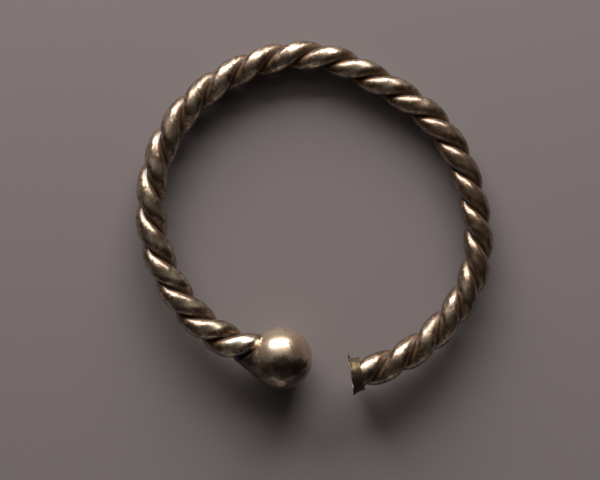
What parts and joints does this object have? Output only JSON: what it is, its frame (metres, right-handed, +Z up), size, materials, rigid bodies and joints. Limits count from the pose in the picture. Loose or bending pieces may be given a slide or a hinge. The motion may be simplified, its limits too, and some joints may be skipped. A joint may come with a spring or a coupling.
{
  "type": "twisted arm ring",
  "caption": "Open arm ring of stout rods twisted together, with a ball terminal on a conical neck and the torn neck of a lost one at the other end.",
  "frame": {"origin": "on the table, under the middle of the ring's box as it lies at rest", "axes": "+Z up out of the hoop as it lies; -Y towards the gap between the ends, with the ball at -X and the torn end at +X"},
  "size_m": [0.087, 0.0862, 0.015],
  "materials": {
    "strand_1": "worn pale silver alloy with brown tarnish in the grooves",
    "strand_2": "worn pale silver alloy with brown tarnish in the grooves",
    "ball_terminal": "polished pale silver alloy with brown stains",
    "torn_neck": "dull olive-brown tarnished sheet"
  },
  "bodies": {
    "root": {"strand_1": "strand_1", "strand_2": "strand_2", "ball_terminal": "ball_terminal", "torn_neck": "torn_neck"}
  },
  "joints": []
}
